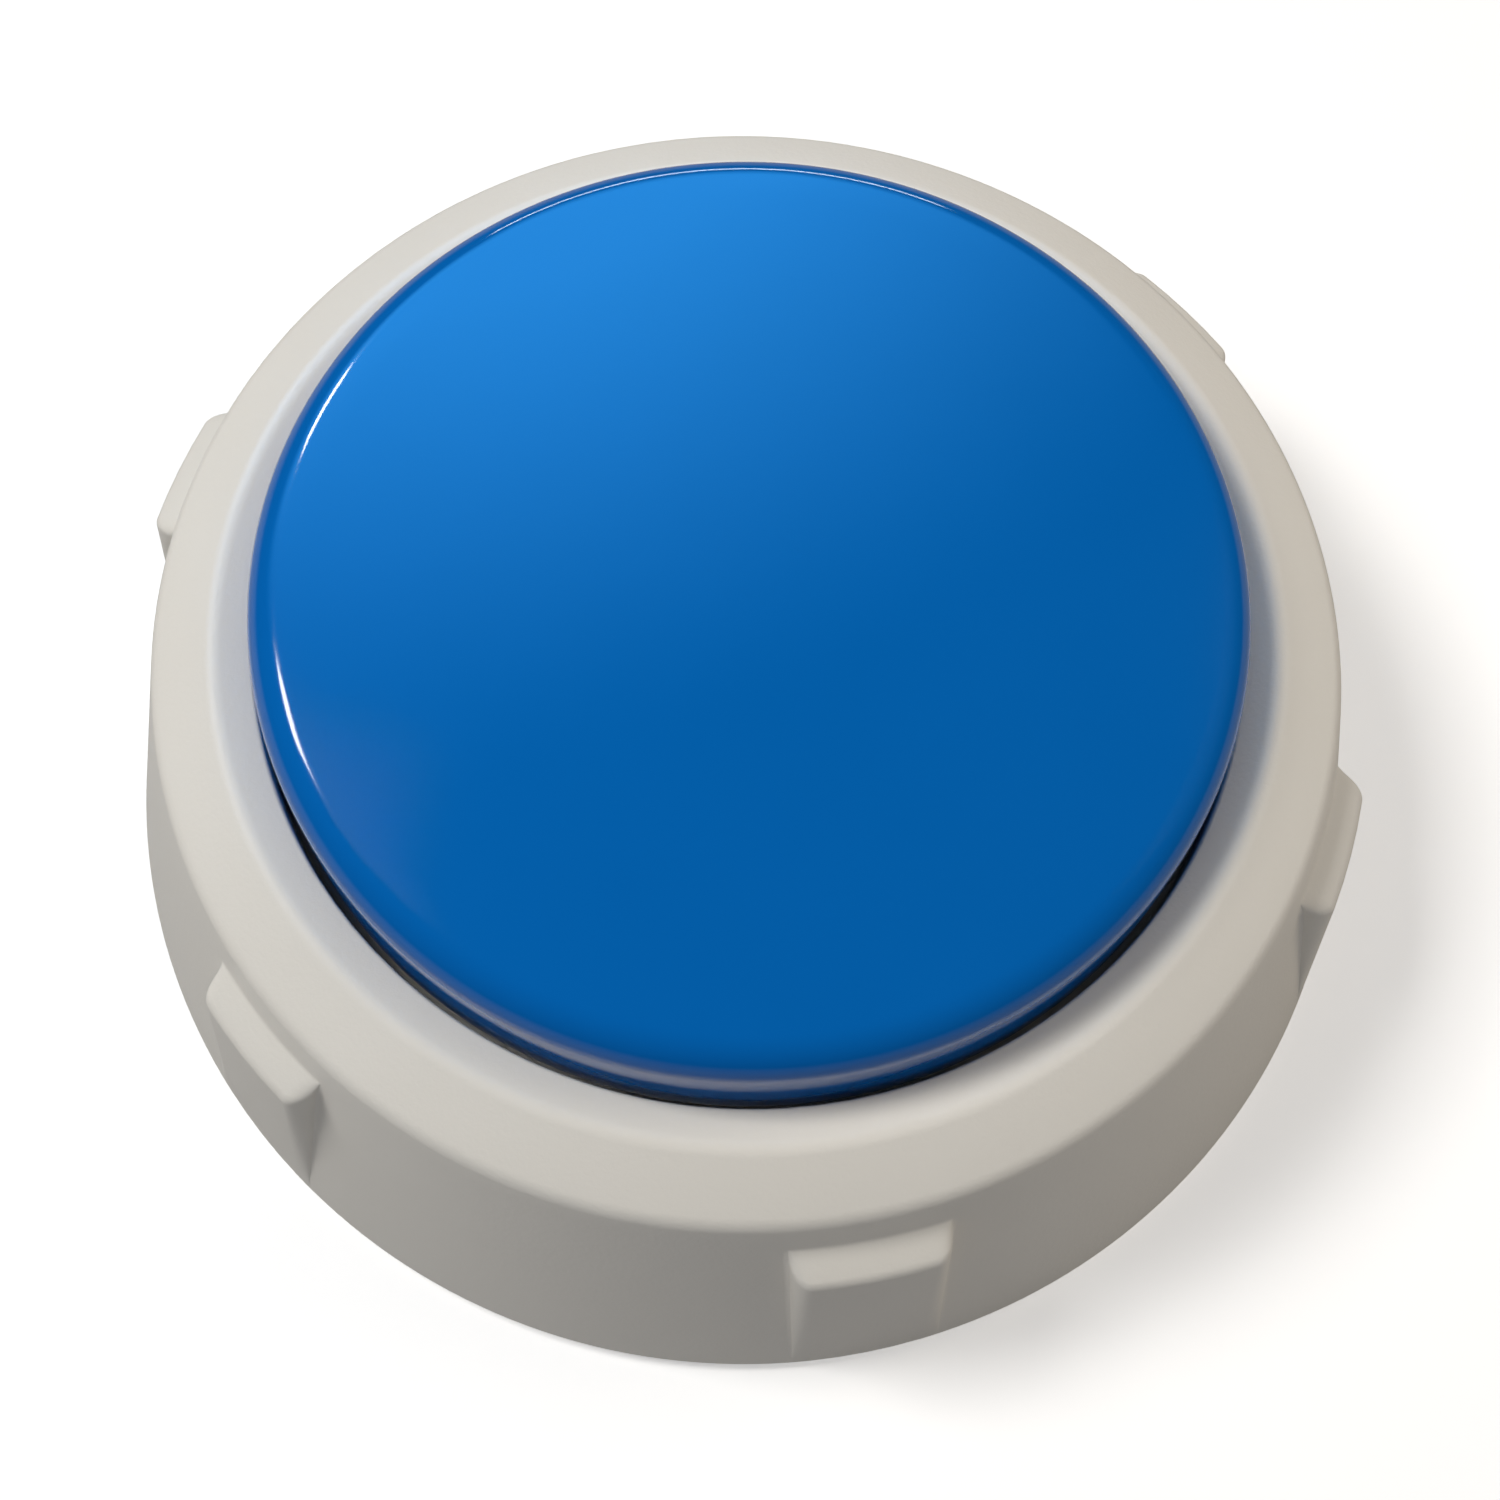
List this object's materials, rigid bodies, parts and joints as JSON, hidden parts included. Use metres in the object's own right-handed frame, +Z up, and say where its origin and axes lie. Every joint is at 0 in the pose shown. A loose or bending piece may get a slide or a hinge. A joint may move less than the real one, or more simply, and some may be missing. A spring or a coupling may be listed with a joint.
{
  "type": "quiz buzzer",
  "caption": "Round tabletop answer button: a domed cap that presses down into a flared, lugged housing and sounds a speaker in the base.",
  "frame": {"origin": "on the table, under the middle of the button", "axes": "+Z up, out of the cap; +Y away from the battery well; a grip lug faces -Y"},
  "size_m": [0.09, 0.09, 0.0345],
  "materials": {
    "housing_plastic": "warm white moulded plastic, satin",
    "base_plastic": "warm white moulded plastic, fine matt texture",
    "cap_plastic": "polished blue plastic",
    "screw_steel": "zinc-plated",
    "foot_rubber": "matt black rubber",
    "cell_jacket": "plain printed sleeve",
    "contact_steel": "nickel-plated spring steel",
    "board_laminate": "green solder mask",
    "switch_plastic": "black moulded plastic",
    "chip_resin": "black resin",
    "capacitor_sleeve": "shrink sleeve",
    "speaker_steel": "plated steel",
    "cone_paper": "pressed black paper",
    "gasket_foam": "closed-cell foam",
    "red_insulation": "soft insulation",
    "black_insulation": "soft insulation",
    "spring_steel": "drawn spring wire"
  },
  "bodies": {
    "housing": {"upper_housing": "housing_plastic", "base_plate": "base_plastic", "housing_screws": "screw_steel", "rubber_feet": "foot_rubber", "battery_rear": "cell_jacket", "battery_front": "cell_jacket", "bridge_contact": "contact_steel", "positive_contact": "contact_steel", "negative_contact": "contact_steel", "circuit_board": "board_laminate", "board_screws": "screw_steel", "switch_body": "switch_plastic", "switch_cover": "contact_steel", "sound_chip": "chip_resin", "capacitor": "capacitor_sleeve", "resistors": "chip_resin", "speaker_frame": "speaker_steel", "speaker_cone": "cone_paper", "speaker_magnet": "speaker_steel", "speaker_gasket": "gasket_foam", "positive_lead": "red_insulation", "negative_lead": "black_insulation", "speaker_leads": "black_insulation", "return_spring": "spring_steel"},
    "button": {"button_cap": "cap_plastic"},
    "plunger": {"switch_plunger": "switch_plastic"},
    "door": {"battery_door": "base_plastic", "door_screws": "screw_steel"}
  },
  "joints": [
    {"name": "button_press", "type": "slide", "parent": "housing", "child": "button", "axis": [0, 0, -1], "range_m": [0, 0.003], "stiffness_N_per_m": 500, "springref_m": -0.003, "deforming": ["return_spring"]},
    {"name": "switch_press", "type": "slide", "parent": "housing", "child": "plunger", "axis": [0, 0, -1], "range_m": [0, 0.00025]},
    {"name": "battery_door_lift", "type": "slide", "parent": "housing", "child": "door", "axis": [0, 0, -1], "range_m": [0, 0.02]}
  ],
  "couplings": [
    {"joint": "switch_press", "follows": "button_press", "ratio": 0.083333}
  ]
}
